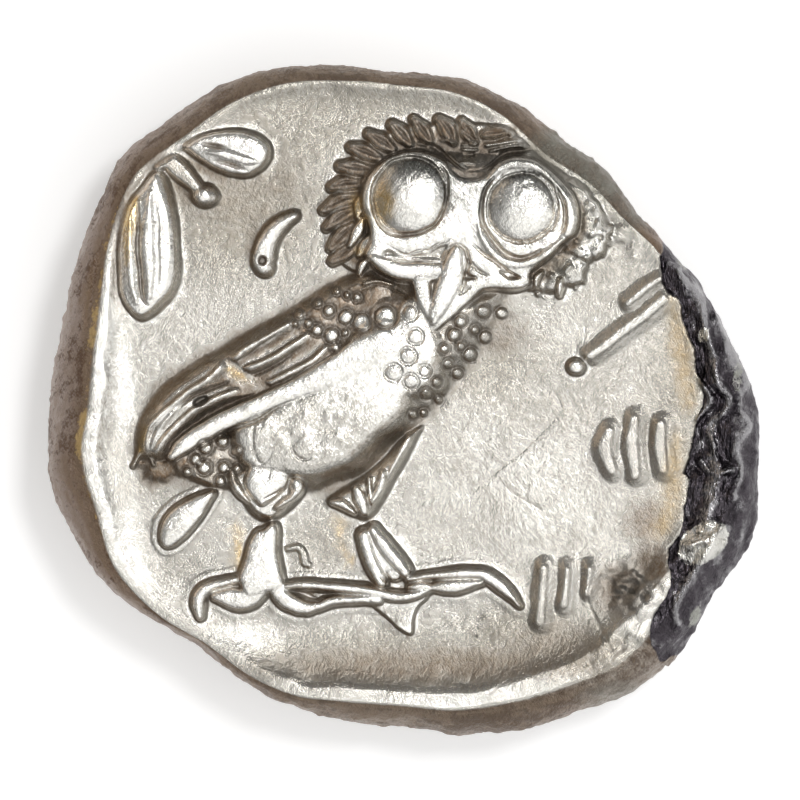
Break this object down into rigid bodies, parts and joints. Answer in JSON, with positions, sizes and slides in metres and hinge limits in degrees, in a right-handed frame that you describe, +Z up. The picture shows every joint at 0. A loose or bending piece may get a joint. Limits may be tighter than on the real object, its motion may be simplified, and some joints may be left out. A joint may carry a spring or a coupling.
{
  "type": "tetradrachm coin",
  "caption": "Thick irregular struck silver coin with a standing owl and olive sprig in relief above and a worn helmeted head below; lies flat.",
  "frame": {"origin": "below the middle of the flan, on the worn flat that the coin lies on", "axes": "+Z up, out of the owl's side; +X across the flan's widest line, towards the crusted edge; +Y towards the top of the owl's head"},
  "size_m": [0.025, 0.0234, 0.0058],
  "materials": {
    "silver": "worn struck silver with brown toning in the recesses and black crust at the +X edge"
  },
  "bodies": {
    "root": {"coin": "silver"}
  },
  "joints": []
}
